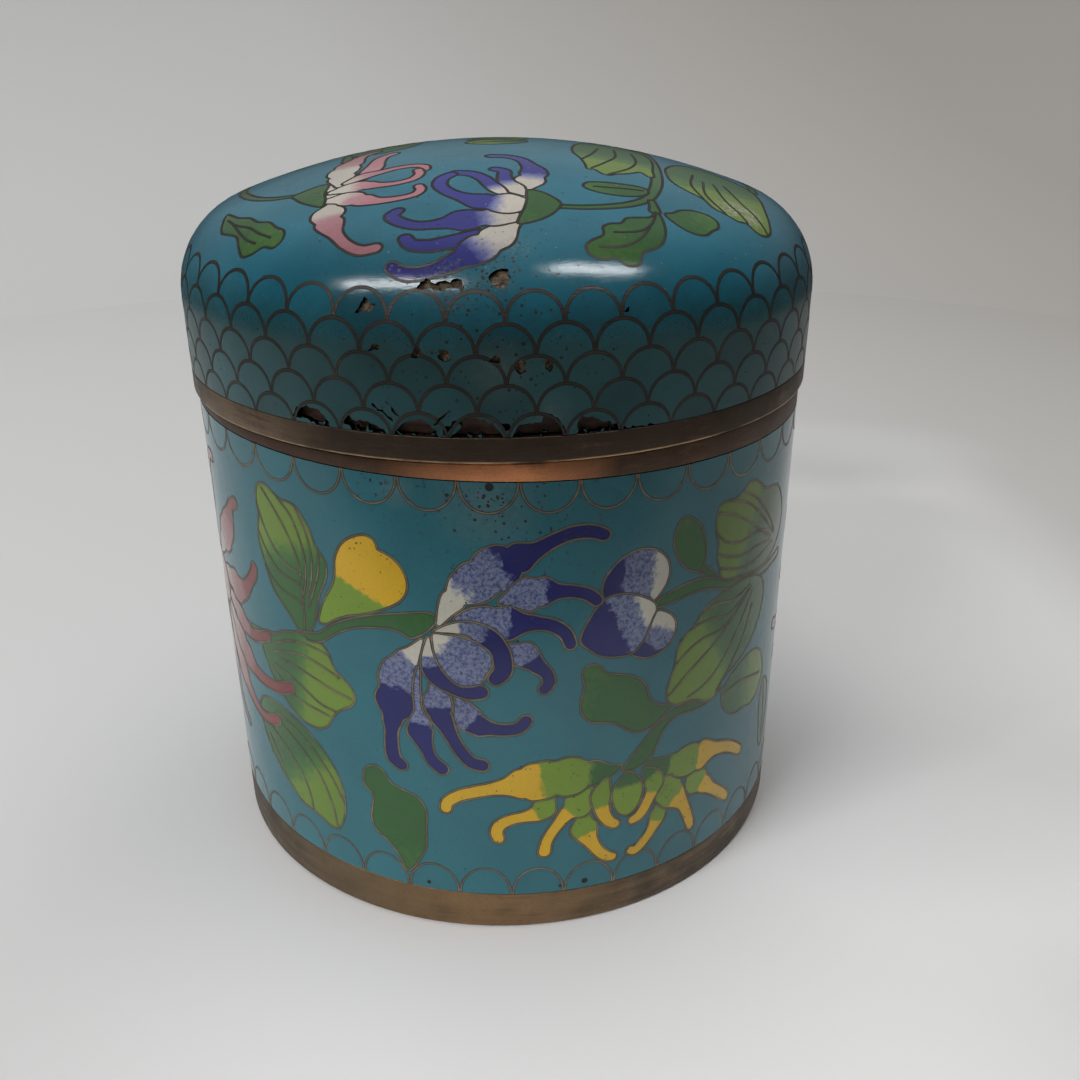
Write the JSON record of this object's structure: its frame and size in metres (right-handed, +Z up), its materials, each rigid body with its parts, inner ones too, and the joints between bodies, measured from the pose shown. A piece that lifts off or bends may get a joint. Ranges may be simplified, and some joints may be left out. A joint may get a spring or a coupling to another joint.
{
  "type": "cloisonne jar",
  "caption": "Round enamelled copper jar with brass rings at foot and mouth and a domed lift-off lid; hollow, stands on its foot ring.",
  "frame": {"origin": "middle of the jar's underside, on the surface that it stands on", "axes": "+Z up along the jar's axis; the front with the blue flower faces -Y"},
  "size_m": [0.0962, 0.0962, 0.1094],
  "materials": {
    "copper": "dull dark copper sheet with counter-enamel inside",
    "enamel": "glossy fired turquoise enamel with inlaid copper wires and coloured flowers",
    "brass": "aged satin brass, browned"
  },
  "bodies": {
    "root": {"jar_body": "copper", "body_enamel": "enamel", "foot_ring": "brass", "mouth_ring": "brass", "lid_shell": "copper", "lid_enamel": "enamel", "lid_ring": "brass"}
  },
  "joints": []
}
